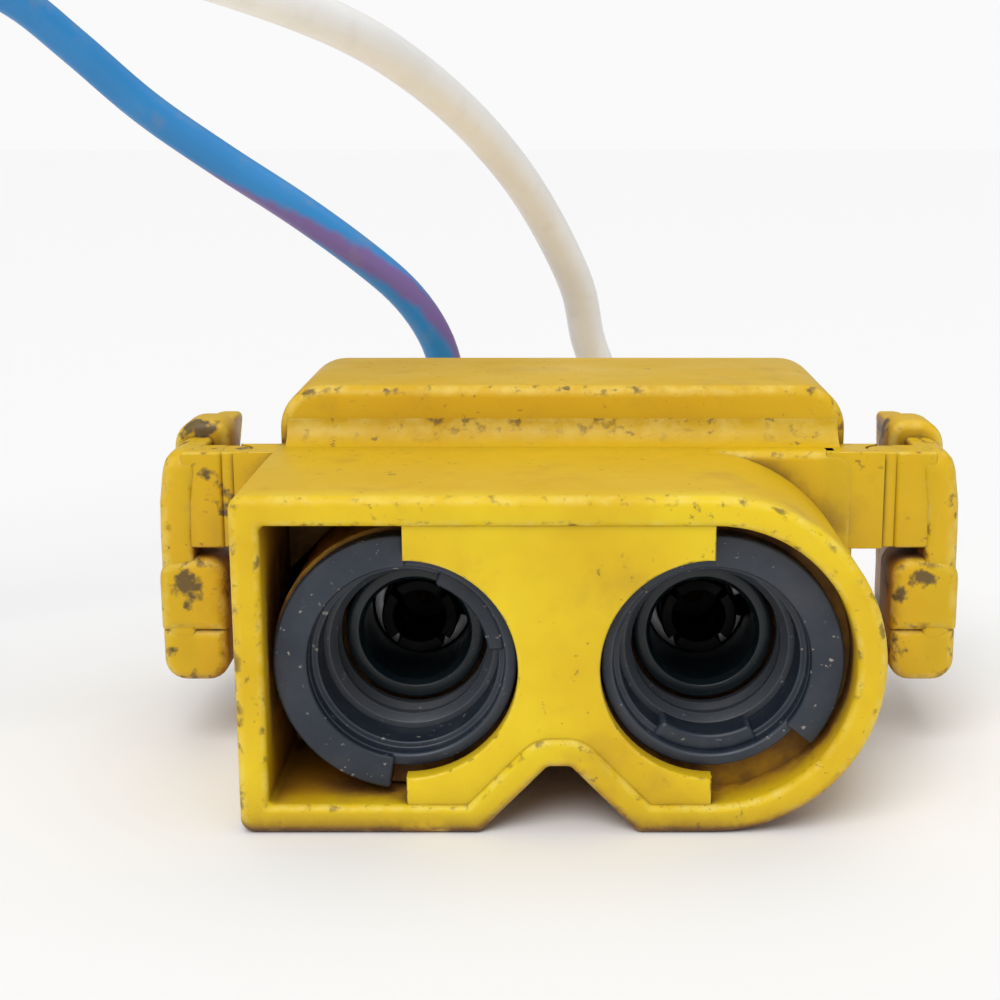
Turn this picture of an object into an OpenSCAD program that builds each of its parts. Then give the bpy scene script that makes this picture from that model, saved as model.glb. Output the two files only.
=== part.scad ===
// Two-way sealed wire plug: a D-shaped shroud with a V key, two sockets with twist-in
// sleeves, a rear cover with two leads, and a rocking latch on each side.
// Millimetres. +Z up, +Y towards the wires, -Y towards the mating half.
// Origin: centre of the base, under the middle of the plug's length.

/* [Shroud] */
// Length of the plug from the mating rim to the ends of the wire seals
plug_len = 31; // [30:0.5:33]
// Radius of the round end, and half the height of the shroud
shroud_r = 9.2; // [9:0.1:9.6]
// Distance from the middle to the square left side
left_x = 17; // [16.6:0.1:17.4]
// Length of the body from the rim to the rear cover
shroud_len = 15; // [14:0.5:16]
// Wall thickness at the rim
rim_wall = 1.6; // [1.4:0.1:1.7]
// Depth of the middle web behind the rim's face
web_recess = 0.3; // [0.2:0.1:0.5]
// Thickness of the middle web
web_t = 1.1; // [1:0.1:1.3]
// Half the width of the V key at the base
key_half_w = 4.2; // [3.8:0.1:4.4]
// Height of the V key
key_h = 3.7; // [3.2:0.1:4]

/* [Sockets] */
// Distance of each socket from the middle
pitch_half = 8.1; // [8:0.05:8.2]
// Height of the sockets above the base
socket_z = 9; // [8.9:0.05:9.2]
// Outer radius of the twist sleeve's tube
sleeve_r = 5.85; // [5.7:0.05:5.9]
// Outer radius of the twist sleeve's half flange
flange_r = 7.05; // [6.9:0.05:7.1]
// Thickness of the half flange
flange_t = 1.4; // [1.2:0.1:1.5]
// Play between the twist sleeve and the body
play = 0.1; // [0.08:0.01:0.15]
// Radius of the hole in a socket contact
contact_bore_r = 1.5; // [1.2:0.05:1.6]
// Turn of the right sleeve from its entry position, degrees
right_turn = 50; // [0:5:120]

/* [Latches] */
// Distance from the middle to a latch's outer face
latch_x = 23.65; // [23.4:0.05:24]
// Thickness of a latch's plate
latch_t = 2.2; // [2:0.1:2.4]
// Length of a latch
latch_len = 15.5; // [14:0.5:16]

/* [Rear cover] */
// Height of the rear cover
cover_h = 21.8; // [21.4:0.1:22]
// Length of the rear cover
cover_len = 14.5; // [14:0.1:14.8]
// Wall of the rear cover
cover_wall = 1.5; // [1.3:0.1:1.7]

/* [Wires] */
// Diameter of a wire over its insulation
wire_d = 2.5; // [2.3:0.05:2.5]
// Diameter of the copper inside
core_d = 1.3; // [1.1:0.1:1.4]
// Length stripped bare at the free end
bare_len = 6; // [4:1:8]

/* [Hidden] */
$fn = 96;
eps = 0.01;
front_y = -plug_len / 2;
back_y = plug_len / 2;
top_z = 2 * shroud_r;
round_x = 8;
right_x = round_x + shroud_r;
web_y = front_y + web_recess;
web_back_y = web_y + web_t;
flange_y = web_back_y + play;
seat_y = flange_y + flange_t + play;
shroud_back_y = front_y + shroud_len;
shoulder_y = shroud_back_y - 2.8;
pocket_y = front_y + 10;
sleeve_back_y = front_y + 9.5;
floor_y = sleeve_back_y + play;
spigot_y = shroud_back_y + 9.5;
cover_back_y = shroud_back_y + cover_len;
key_tip_half_w = 0.6;
corner_r = 0.8;
// Insulating tube round each contact, and the hole that holds it
tube_y = front_y + 7.5;
tube_back_y = 2.5;
tube_r = 3.9;
tube_bore_r = 2.95;
// Socket contact
contact_y = front_y + 10.5;
contact_r = 2.2;
contact_bore_len = 5.2;
collar_y = 1;
crimp_y = 2.5;
crimp_back_y = 5.6;
crimp_r = 1.2;
core_front_y = 2.7;
// Wire seal in the spigot
seal_y = 7.4;
seal_hole_r = 3.9;
seal_neck_r = 2.6;
wire_y = 6;
// Solid middle behind the shoulder, inside the rear cover
core_half_w = 14.6;
core_z = 2;
core_h = 14.4;
// Room for it inside the cover
cavity_half_w = 14.8;
cavity_h = 15.2;
cover_round_r = 1.5;
// Latch pivot
pivot_x = 19.2;
pivot_y = -1.9;
pivot_r = 1.15;
pivot_play = 0.08;
latch_y = -3.2;
latch_z = 4.5;
arm_z = 12.6;
hook_z = 12;
hook_x = 19.6;
hook_len = 3.9;
notch_z = 7.6;
notch_h = 0.5;
stop_y = 1.4;
stop_len = 3.6;

// Each wire runs out of its seal, arches up over the plug to the left and comes down
// to the surface that the plug stands on, where its end lies flat.
blue_route = [
    [-8.1, 6, 9], [-8.1, 11, 9], [-8.1, 16, 9], [-8.1, 19, 9.3], [-8.1, 21.8, 10.5],
    [-8.1, 24, 12.7], [-8.1, 25.3, 15.6], [-8.3, 25.6, 18.6], [-9.2, 25.2, 21.7],
    [-11.2, 24.9, 24.7], [-14.3, 24.5, 27.5], [-18.7, 24, 30.8], [-24.1, 23.5, 34.4],
    [-29, 22.5, 38], [-33.2, 20.8, 42], [-36.5, 19, 45], [-40.5, 17, 47],
    [-45, 15, 46.6], [-49, 13.5, 43.8], [-52, 12.6, 39.4], [-54, 12, 34],
    [-55.4, 11.6, 28], [-56.6, 11.4, 22], [-58, 11.4, 16], [-60.2, 11.6, 10.2],
    [-63.8, 12.2, 5.4], [-68.6, 13.8, 2.4], [-73.2, 17, 1.4], [-76, 21.6, 1.25],
    [-76.6, 25.4, 1.25], [-76.6, 28.5, 1.25]
];
white_route = [
    [8.1, 6, 9], [8.1, 11, 9], [8.1, 16, 9], [8, 19, 9.3], [7.6, 21.6, 10.5],
    [6.6, 23.6, 12.7], [5, 24.9, 15.4], [3.3, 25.2, 18.3], [2.1, 24.7, 21.4],
    [1.3, 23.4, 25.3], [-0.7, 20.5, 29.8], [-3, 16.5, 33.7], [-5.8, 11.5, 37.2],
    [-8.8, 6.2, 40], [-12, 1, 42.1], [-16.5, -4, 43.9], [-21.7, -7.6, 45.3],
    [-27.5, -9.6, 45.8], [-33.3, -10.6, 44.8], [-38.4, -11, 41.8], [-42.3, -11, 37.3],
    [-45, -10.6, 31.9], [-47, -10, 26.1], [-48.8, -9.4, 20.3], [-51, -8.6, 14.7],
    [-54, -8.4, 9.3], [-58, -9.4, 4.9], [-62, -11.6, 2.3], [-64.6, -15.2, 1.4],
    [-65.4, -18.4, 1.25], [-65.4, -21, 1.25]
];

// A flat shape in X and Z, carried along Y from y0 to y1
module along_y(y0, y1) {
    translate([0, y1, 0]) rotate([90, 0, 0]) linear_extrude(height = y1 - y0) children();
}

// A round bar along Y
module bar_y(r, y0, y1) {
    along_y(y0, y1) circle(r);
}

// A ring along Y
module ring_y(outer_r, inner_r, y0, y1) {
    along_y(y0, y1) difference() {
        circle(outer_r);
        circle(inner_r);
    }
}

// Moves a part to one socket: side is -1 for the left, 1 for the right
module at_socket(side) {
    translate([side * pitch_half, 0, socket_z]) children();
}

// Outline of the shroud, drawn in by inset: square on the left, round on the right
module d_outline(inset, corner) {
    x0 = inset - left_x;
    z0 = inset;
    z1 = top_z - inset;
    translate([x0 + corner, z0]) square([round_x - x0 - corner, z1 - z0]);
    translate([x0, z0 + corner]) square([2 * corner, z1 - z0 - 2 * corner]);
    for (z = [z0 + corner, z1 - corner]) translate([x0 + corner, z]) circle(corner);
    translate([round_x, shroud_r]) circle(shroud_r - inset);
}

// Outline of the V key, made larger by grow
module key_outline(grow) {
    root = key_half_w + grow;
    tip = key_tip_half_w + 0.4 * grow;
    polygon([
        [-root, -1], [root, -1], [root, 0],
        [tip, key_h + grow], [-tip, key_h + grow], [-root, 0]
    ]);
}

// Block with round edges along Y, and softer corners at the back
module soft_block(x0, x1, y0, y1, z0, z1, r) {
    hull() for (x = [x0 + r, x1 - r], z = [z0 + r, z1 - r]) {
        translate([x, y0, z]) rotate([-90, 0, 0]) cylinder(r = r, h = eps, $fn = 32);
        translate([x, y1 - r, z]) sphere(r, $fn = 32);
    }
}

module plug_housing() {
    color("gold") difference() {
        union() {
            along_y(front_y, shroud_back_y) d_outline(0, corner_r);
            along_y(shoulder_y, shroud_back_y) translate([-left_x, 0])
                square([left_x + right_x, top_z]);
            along_y(shroud_back_y - eps, spigot_y) translate([-core_half_w, core_z])
                square([2 * core_half_w, core_h]);
            for (side = [-1, 1]) housing_arm(side);
        }
        along_y(front_y - 1, web_y) difference() {
            d_outline(rim_wall, corner_r);
            key_outline(rim_wall);
        }
        along_y(front_y - 1, shoulder_y) key_outline(0);
        pockets();
        for (side = [-1, 1]) at_socket(side) socket_hole();
    }
}

// Arm that carries a latch: its end hugs the latch's round pivot
module housing_arm(side) {
    x0 = side > 0 ? right_x - 1 : left_x - 1;
    difference() {
        translate([side > 0 ? x0 : -pivot_x, shoulder_y, arm_z])
            cube([pivot_x - x0, shroud_back_y - shoulder_y, top_z - arm_z]);
        translate([side * pivot_x, pivot_y, arm_z - 1])
            cylinder(r = pivot_r + pivot_play, h = top_z - arm_z + 2);
    }
}

// Open halves beside the web, where a sleeve's half flange goes in, and the deep
// corner pockets round the left socket
module pockets() {
    side_w = left_x;
    along_y(front_y - 1, seat_y) intersection() {
        d_outline(rim_wall, 0.3);
        for (x = [-pitch_half - side_w, pitch_half])
            translate([x, 0]) square([side_w, top_z]);
    }
    along_y(front_y - 1, pocket_y) difference() {
        intersection() {
            d_outline(rim_wall, 0.3);
            translate([-pitch_half - side_w, 0]) square([side_w, top_z]);
        }
        translate([-pitch_half, socket_z]) circle(flange_r + 0.45);
    }
}

// Hole of one socket, from the mating face to the wire seal
module socket_hole() {
    bar_y(sleeve_r + play, front_y - 1, floor_y);
    bar_y(flange_r + 1.5 * play, web_back_y, seat_y);
    bar_y(tube_r + 0.02, floor_y - 1, tube_back_y);
    bar_y(crimp_r + 0.4, tube_back_y - 1, seal_y);
    bar_y(seal_hole_r, seal_y - 1.2, spigot_y + 1);
}

module rear_cover() {
    x0 = -left_x + 0.4;
    x1 = right_x - 0.2;
    color("goldenrod") difference() {
        soft_block(x0, x1, shroud_back_y, cover_back_y, 0, cover_h, cover_round_r);
        translate([-cavity_half_w, shroud_back_y - 1, cover_wall])
            cube([2 * cavity_half_w, spigot_y - shroud_back_y + 1.2, cavity_h]);
        for (side = [-1, 1]) at_socket(side)
            bar_y(seal_neck_r + 0.05, spigot_y - 1, cover_back_y + 1);
    }
}

// Rocking latch on the right; the left one is its mirror image
module latch() {
    plate_x = latch_x - latch_t;
    difference() {
        union() {
            // Plate with round edges and a ribbed thumb pad at the back
            hull() for (z = [latch_z + 1, top_z - 1], y = [latch_y + 1, latch_y + latch_len - 1])
                translate([plate_x, y, z]) rotate([0, 90, 0]) cylinder(r = 1, h = latch_t - 0.4, $fn = 32);
            hull() for (z = [latch_z + 1.4, top_z - 1.8], y = [latch_y + 1, 6])
                translate([plate_x, y, z]) rotate([0, 90, 0]) cylinder(r = 0.8, h = latch_t, $fn = 32);
            for (y = [7.5, 9, 10.5]) translate([plate_x, y, latch_z + 2])
                cube([latch_t, 0.8, top_z - latch_z - 4]);
            // Hook block at the lower front
            hull() for (x = [hook_x + 0.8, plate_x + 1], z = [latch_z + 0.8, hook_z - 0.8])
                translate([x, latch_y, z]) rotate([-90, 0, 0]) cylinder(r = 0.8, h = hook_len, $fn = 32);
            // Raised thumb stop on top
            hull() for (x = [20.3, 22.5], z = [16, 18.7])
                translate([x, stop_y, z]) rotate([-90, 0, 0]) cylinder(r = 0.7, h = stop_len, $fn = 32);
            // Arm and round pivot
            translate([pivot_x, pivot_y - 1, arm_z])
                cube([plate_x - pivot_x + 0.5, 2, top_z - arm_z]);
            translate([pivot_x, pivot_y, arm_z]) cylinder(r = pivot_r, h = top_z - arm_z);
        }
        // Notch across the hook's foot
        translate([hook_x - 1, latch_y - 1, notch_z]) cube([1.5, 6, notch_h]);
    }
}

module left_latch() {
    color("gold") mirror([1, 0, 0]) latch();
}

module right_latch() {
    color("gold") latch();
}

// Sleeve with a flange on one half: the flange runs from start to start + 172 degrees
module twist_sleeve(start) {
    step_r = 5.26;
    bore_r = 4.85;
    lug_r = 4.3;
    far = 2 * flange_r;
    rotate([0, -start, 0]) difference() {
        union() {
            bar_y(sleeve_r, flange_y, sleeve_back_y);
            along_y(flange_y, flange_y + flange_t) intersection() {
                circle(flange_r);
                translate([-far, 0]) square([2 * far, far]);
                rotate(-8) translate([-far, 0]) square([2 * far, far]);
            }
        }
        difference() {
            union() {
                bar_y(step_r, flange_y - 1, flange_y + 1);
                bar_y(bore_r, flange_y, sleeve_back_y + 1);
            }
            // Lug inside the mouth
            along_y(flange_y + 0.9, flange_y + 3) difference() {
                intersection() {
                    circle(step_r + 0.2);
                    polygon([[0, 0], [far, -far * tan(20)], [far, -far], [far * 0.09, -far]]);
                }
                circle(lug_r);
            }
        }
    }
}

module lip_seal() {
    ring_y(4.85, 4.3, front_y + 5, front_y + 8.5);
    ring_y(4.85, 4.1, front_y + 5.4, front_y + 6);
    ring_y(4.85, 4.1, front_y + 7.2, front_y + 7.8);
}

module contact_tube() {
    difference() {
        bar_y(tube_r, tube_y, tube_back_y);
        bar_y(tube_bore_r, tube_y - 1, collar_y);
        bar_y(crimp_r + 0.02, 0, tube_back_y + 1);
    }
}

// Turned socket contact: hollow front, solid collar and a crimp barrel
module socket_contact() {
    difference() {
        union() {
            bar_y(contact_r, contact_y, collar_y);
            bar_y(crimp_r, collar_y - eps, crimp_back_y);
        }
        bar_y(contact_bore_r, contact_y - 1, contact_y + contact_bore_len);
        bar_y(core_d / 2, core_front_y, crimp_back_y + 1);
    }
}

// Sprung ring that holds the contact in its tube
module contact_clip() {
    difference() {
        ring_y(tube_bore_r, contact_r, -2.5, -1);
        translate([0, -3, -0.5]) cube([4, 3, 1]);
    }
}

module wire_seal() {
    difference() {
        union() {
            bar_y(3.5, seal_y, spigot_y);
            for (y = [seal_y + 0.1, seal_y + 0.85])
                bar_y(seal_hole_r - 0.02, y, y + 0.5);
            bar_y(seal_neck_r, spigot_y - eps, back_y);
        }
        bar_y(wire_d / 2 + 0.03, seal_y - 1, back_y + 1);
    }
}

function unit(v) = v / norm(v);
function tangent(p, i) = unit(p[min(i + 1, len(p) - 1)] - p[max(i - 1, 0)]);
function carried(n, t) = unit(n - (n * t) * t);
// A normal at each point, carried along the route without twisting
function normals(p, n, i = 0) =
    i == len(p) ? [] : let (m = carried(n, tangent(p, i))) concat([m], normals(p, m, i + 1));

// Round tube swept along a route
module wire(route, r, sides = 8) {
    n = normals(route, [0, 0, 1]);
    last = len(route) - 1;
    rings = [
        for (i = [0:last], k = [0:sides - 1])
            let (t = tangent(route, i), a = 360 * k / sides)
                route[i] + r * (cos(a) * n[i] + sin(a) * cross(t, n[i]))
    ];
    walls = [
        for (i = [0:last - 1], k = [0:sides - 1])
            let (j = i * sides, m = (k + 1) % sides)
                [j + k, j + sides + k, j + sides + m, j + m]
    ];
    caps = [[for (k = [0:sides - 1]) k], [for (k = [sides - 1:-1:0]) last * sides + k]];
    polyhedron(points = rings, faces = concat(walls, caps), convexity = 10);
}

// Bare copper that goes on from the end of a wire: way is 1 along +Y and -1 along -Y
module bare_end(route, way) {
    tip = route[len(route) - 1];
    translate([tip[0], tip[1] + (way - 1) / 2 * bare_len, tip[2]])
        bar_y(core_d / 2, 0, bare_len);
}

module left_twist_sleeve() {
    color("darkslategray") at_socket(-1) twist_sleeve(90);
}

module right_twist_sleeve() {
    color("darkslategray") at_socket(1) twist_sleeve(right_turn - 90);
}

module left_lip_seal() {
    color("slategray") at_socket(-1) lip_seal();
}

module right_lip_seal() {
    color("slategray") at_socket(1) lip_seal();
}

module left_contact_tube() {
    color("darkcyan") at_socket(-1) contact_tube();
}

module right_contact_tube() {
    color("darkcyan") at_socket(1) contact_tube();
}

module left_socket_contact() {
    color("silver") at_socket(-1) socket_contact();
}

module right_socket_contact() {
    color("silver") at_socket(1) socket_contact();
}

module left_contact_clip() {
    color("gray") at_socket(-1) contact_clip();
}

module right_contact_clip() {
    color("gray") at_socket(1) contact_clip();
}

module left_wire_seal() {
    color("dimgray") at_socket(-1) wire_seal();
}

module right_wire_seal() {
    color("dimgray") at_socket(1) wire_seal();
}

module left_crimped_core() {
    color("peru") at_socket(-1) bar_y(core_d / 2, core_front_y, wire_y);
}

module right_crimped_core() {
    color("peru") at_socket(1) bar_y(core_d / 2, core_front_y, wire_y);
}

module blue_wire() {
    color("dodgerblue") wire(blue_route, wire_d / 2);
}

module white_wire() {
    color("whitesmoke") wire(white_route, wire_d / 2);
}

module blue_bare_end() {
    color("peru") bare_end(blue_route, 1);
}

module white_bare_end() {
    color("peru") bare_end(white_route, -1);
}

plug_housing();
rear_cover();
left_latch();
right_latch();
left_twist_sleeve();
right_twist_sleeve();
left_lip_seal();
right_lip_seal();
left_contact_tube();
right_contact_tube();
left_socket_contact();
right_socket_contact();
left_contact_clip();
right_contact_clip();
left_wire_seal();
right_wire_seal();
left_crimped_core();
right_crimped_core();
blue_wire();
white_wire();
blue_bare_end();
white_bare_end();
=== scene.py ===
# %% [markdown]
# # A sealed wire plug, built round its engineering model
#
# The plug is a yellow moulding with two sockets, a twist-in sleeve in each, a rocking
# latch on each side and two leads. The engineering model is loaded as a fixed frame.
# The pieces made here stand in for its plain solids, in the same place and at the same
# size, with the soft edges, grime and gloss that the real moulding has.
#
# Every length below is in millimetres, and one helper turns it into metres at the end.

# %% Load the frame
import math

import bpy
import numpy as np
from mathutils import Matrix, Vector


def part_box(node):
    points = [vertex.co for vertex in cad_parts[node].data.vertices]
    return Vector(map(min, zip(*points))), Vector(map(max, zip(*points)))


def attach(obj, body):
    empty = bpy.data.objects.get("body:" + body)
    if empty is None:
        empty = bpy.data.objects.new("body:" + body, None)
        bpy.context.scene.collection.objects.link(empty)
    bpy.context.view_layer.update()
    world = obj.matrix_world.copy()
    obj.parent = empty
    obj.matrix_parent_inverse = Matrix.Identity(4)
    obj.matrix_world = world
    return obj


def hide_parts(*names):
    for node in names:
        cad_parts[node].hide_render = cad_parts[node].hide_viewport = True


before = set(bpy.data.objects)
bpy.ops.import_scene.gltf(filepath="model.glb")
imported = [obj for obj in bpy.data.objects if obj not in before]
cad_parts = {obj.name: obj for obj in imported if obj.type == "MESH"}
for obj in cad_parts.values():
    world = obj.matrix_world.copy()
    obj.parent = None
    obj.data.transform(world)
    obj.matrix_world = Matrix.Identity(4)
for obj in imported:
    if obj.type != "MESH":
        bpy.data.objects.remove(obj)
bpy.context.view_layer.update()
MM = 0.001

# %% [markdown]
# ## Where things are
#
# A maker works from a few datum points. Here they come from the boxes of the loaded
# nodes, so a change in the engineering model moves the looks with it.

# %% Datum sizes
def span(node):
    """Lowest and highest corner of a node, in millimetres."""
    low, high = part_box(node)
    return np.array(low) / MM, np.array(high) / MM


housing_low, housing_high = span("plug_housing")
cover_low, cover_high = span("rear_cover")
latch_low, latch_high = span("right_latch")
tube_low, tube_high = span("left_contact_tube")
sleeve_low = span("left_twist_sleeve")[0]
contact_low, contact_high = span("left_socket_contact")
seal_low, seal_high = span("left_wire_seal")
lip_low, lip_high = span("left_lip_seal")

FRONT = housing_low[1]
SOCKET_X = -(tube_low[0] + tube_high[0]) / 2
SOCKET_Z = (tube_low[2] + tube_high[2]) / 2
SHROUD_BACK = cover_low[1]
SHROUD_R = 9.2
SHROUD_TOP = 2 * SHROUD_R
LEFT_X = -17.0
RIGHT_X = 8.0 + SHROUD_R
RIM_WALL = 1.6
WIRE_D = 2.5
print(f"front {FRONT:.2f}, sockets at x {SOCKET_X:.2f}, z {SOCKET_Z:.2f}")

# %% [markdown]
# ## The camera
#
# The camera comes first, because what it can't see decides how the leads are laid. It
# stands a little above the plug and looks down at it by twelve and a half degrees.

# %% Camera
LOOK_DOWN = math.radians(12.5)
camera_data = bpy.data.cameras.new("camera")
camera_data.lens = 61.92
camera_data.sensor_width = 36
camera_data.shift_x = -0.06
camera_data.clip_start = 0.005
camera = bpy.data.objects.new("camera", camera_data)
camera.location = (0.05 * MM, -101.0 * MM, 37.2 * MM)
camera.rotation_euler = (math.pi / 2 - LOOK_DOWN, 0, 0)
bpy.context.scene.collection.objects.link(camera)
bpy.context.scene.camera = camera
print("camera at", tuple(round(c / MM, 1) for c in camera.location))

# %% [markdown]
# ## Helpers that turn arrays into pieces
#
# Each shape below is worked out as an array of points and a list of faces. One helper
# writes them into a mesh. Beside each point it keeps a number called rub: one on a
# rounded edge, where hands and tools wear the plastic, and nought on a flat.

# %% Mesh helper
def piece(name, parts, body, replaces=(), smooth_deg=40):
    """One object from several (points, faces, rub) parts, in millimetres."""
    points, faces, rub, start = [], [], [], 0
    for part_points, part_faces, part_rub in parts:
        points.append(part_points)
        rub.append(part_rub)
        faces += [[start + i for i in face] for face in part_faces]
        start += len(part_points)
    mesh = bpy.data.meshes.new(name)
    mesh.from_pydata(np.concatenate(points) * MM, [], faces)
    mesh.attributes.new("rub", "FLOAT", "POINT").data.foreach_set(
        "value", np.concatenate(rub).astype(np.float32)
    )
    mesh.update()
    mesh.shade_smooth()
    obj = bpy.data.objects.new(name, mesh)
    bpy.context.scene.collection.objects.link(obj)
    bpy.context.view_layer.objects.active = obj
    mesh.set_sharp_from_angle(angle=math.radians(smooth_deg))
    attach(obj, body)
    if replaces:
        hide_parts(*replaces)
    print(f"{name}: {len(mesh.vertices)} points, {len(mesh.polygons)} faces")
    return obj


# %% [markdown]
# ## Outlines with round corners
#
# Most faces of a moulding are flat shapes with round corners. The same outline is
# needed a little smaller again and again, to round an edge over. So this helper moves
# each side of a polygon inwards by an inset, finds the new corners, and lays an arc in
# each one. The number of points never changes, so two insets can be joined by faces.

# %% Outline helper
def outline(corners, radii, inset=0.0, arc_steps=8, side_steps=1, least=0.12):
    """Points round a polygon, its sides moved in by inset and its corners rounded.

    A corner that bulges outwards has the radius r - inset, one that bites inwards has
    r + inset, and the arc joins its two sides where each is tangent to it.
    """
    p = np.array(corners, float)
    ahead = np.roll(p, -1, 0) - p
    ahead /= np.linalg.norm(ahead, axis=1)[:, None]
    back = np.roll(ahead, 1, 0)
    inward = np.stack([-ahead[:, 1], ahead[:, 0]], 1)
    cross = back[:, 0] * ahead[:, 1] - back[:, 1] * ahead[:, 0]
    dot = (back * ahead).sum(1)
    mitre = (np.roll(inward, 1, 0) + inward) / (1 + dot)[:, None]
    corner = p + inset * mitre
    turn = np.arctan2(cross, dot)
    bulges = turn > 0
    r = np.where(bulges, np.maximum(np.array(radii) - inset, least), np.array(radii) + inset)
    reach = r * np.abs(np.tan(turn / 2))
    first = corner - back * reach[:, None]
    centre = first + np.where(bulges, 1, -1)[:, None] * np.roll(inward, 1, 0) * r[:, None]
    t = np.linspace(0, 1, arc_steps + 1)
    angle = turn[:, None] * t
    arm = (first - centre)[:, None, :]
    c, s = np.cos(angle)[..., None], np.sin(angle)[..., None]
    arcs = centre[:, None, :] + arm * c + np.stack([-arm[..., 1], arm[..., 0]], -1) * s
    if side_steps == 1:
        return arcs.reshape(-1, 2)
    end, start = arcs[:, -1], np.roll(arcs[:, 0], -1, 0)
    u = np.linspace(0, 1, side_steps + 1)[1:-1]
    sides = end[:, None] + (start - end)[:, None] * u[None, :, None]
    return np.concatenate([arcs, sides], 1).reshape(-1, 2)


def moved_in(points, inset):
    """A closed run of close points, moved inwards (to the left of travel) by inset."""
    ahead = np.roll(points, -1, 0) - np.roll(points, 1, 0)
    ahead /= np.linalg.norm(ahead, axis=1)[:, None]
    return points + inset * np.stack([-ahead[:, 1], ahead[:, 0]], 1)


def arc(centre, r, a0, a1, steps):
    """Points on a circle from angle a0 to a1, in degrees."""
    a = np.radians(np.linspace(a0, a1, steps + 1))
    return np.stack([centre[0] + r * np.cos(a), centre[1] + r * np.sin(a)], 1)


# %% [markdown]
# ## Skins, blocks and turned rings
#
# Rings of points are joined by four-sided faces to make a skin. A block is an outline
# carried along a line, a little smaller at both ends so that its edges are round. A
# turned ring is a closed profile spun about a socket's axis.

# %% Skin, block and turned ring
def skin(rings, rub, closed_rings=False, caps=True):
    """Faces between rings, an array (ring, point, 3) of points.

    Point k of ring i is joined to k + 1 and to ring i + 1. closed_rings joins the last
    ring to the first; caps closes both ends with one flat face each.
    """
    n, m, _ = rings.shape
    i = np.arange(n if closed_rings else n - 1)[:, None]
    k = np.arange(m)[None, :]
    here, up = i * m, (i + 1) % n * m
    right = (k + 1) % m
    faces = np.stack([here + k, up + k, up + right, here + right], -1).reshape(-1, 4).tolist()
    if caps and not closed_rings:
        faces.append(list(range(m)))
        faces.append(list(range(n * m - 1, (n - 1) * m - 1, -1)))
    return rings.reshape(-1, 3), faces, np.broadcast_to(rub, (n, m)).reshape(-1)


def stations(c0, c1, edge0, edge1, between=1, steps=4):
    """Distances, insets and rub along a block: a quarter circle of each edge's radius."""
    a = np.linspace(0, math.pi / 2, steps + 1)
    at = [c0 + edge0 * (1 - np.sin(a)), np.linspace(c0 + edge0, c1 - edge1, between + 1)[1:-1]]
    inset = [edge0 * (1 - np.cos(a)), np.zeros(between - 1)]
    worn = [np.sin(2 * a), np.zeros(between - 1)]
    at[0], inset[0], worn[0] = at[0][::-1], inset[0][::-1], worn[0][::-1]
    at.append(c1 - edge1 * (1 - np.sin(a)))
    inset.append(edge1 * (1 - np.cos(a)))
    worn.append(np.sin(2 * a))
    return np.concatenate(at), np.concatenate(inset), np.concatenate(worn)


def block(shape, c0, c1, edge0=0.3, edge1=0.3, between=1, place=None):
    """A solid: shape(inset) gives its outline (a, b), carried along c from c0 to c1.

    place turns (a, b, c) into X, Y, Z. Without it a is X, b is Z and c is Y.
    """
    at, inset, worn = stations(c0, c1, edge0, edge1, between)
    rings = np.stack([shape(d) for d in inset])
    c = np.broadcast_to(at[:, None], rings.shape[:2])
    a, b = rings[..., 0], rings[..., 1]
    xyz = np.stack([a, c, b], -1) if place is None else place(a, b, c)
    return skin(xyz, worn[:, None])


def turned(corners, radii, side, worn=1.0, steps=96):
    """A closed profile of (y, radius) corners, each rounded, spun about a socket's axis.

    X is the socket's x plus r cos(angle), Z its z plus r sin(angle). The middle of
    each rounded corner is the most worn.
    """
    arc_steps = 4
    p = outline(corners, radii, 0.0, arc_steps, least=0.02)
    rub = np.tile(np.sin(np.linspace(0, math.pi, arc_steps + 1)), len(corners)) * worn
    a = np.linspace(0, 2 * math.pi, steps, endpoint=False)[:, None]
    x = side * SOCKET_X + p[None, :, 1] * np.cos(a)
    z = SOCKET_Z + p[None, :, 1] * np.sin(a)
    y = np.broadcast_to(p[None, :, 0], x.shape)
    return skin(np.stack([x, y, z], -1), np.broadcast_to(rub, x.shape), closed_rings=True)


def sector(corners, radius, side, a0, a1, edge=0.15, between=48):
    """A block whose (y, radius) section is carried round a socket from angle a0 to a1."""
    middle = np.mean([r for _, r in corners])

    def place(a, b, c):
        angle = c / middle
        return np.stack(
            [side * SOCKET_X + b * np.cos(angle), a, SOCKET_Z + b * np.sin(angle)], -1
        )

    radii = [radius] * len(corners)
    return block(
        lambda inset: outline(corners, radii, inset, 4, least=0.02),
        math.radians(a0) * middle,
        math.radians(a1) * middle,
        edge,
        edge,
        between,
        place,
    )


print("helpers ready")

# %% [markdown]
# ## Finishes
#
# Each finish is a small network of nodes. It reads where a point is on the object, the
# rub number kept with the mesh, and how shut-in the point is, since dirt stays in
# corners and shade is painted into deep hollows. Helpers keep the networks short enough to read.

# %% Node helpers
def new_finish(name):
    """A material with an empty network, its Principled shader and helpers to add nodes."""
    material = bpy.data.materials.new(name)
    material.use_nodes = True
    nodes, links = material.node_tree.nodes, material.node_tree.links
    shader = nodes["Principled BSDF"]

    def add(kind, inputs=None, **settings):
        node = nodes.new(kind)
        for key, value in settings.items():
            setattr(node, key, value)
        for key, value in (inputs or {}).items():
            if isinstance(value, bpy.types.NodeSocket):
                links.new(value, node.inputs[key])
            else:
                node.inputs[key].default_value = value
        return node

    return material, shader, add, links


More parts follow.
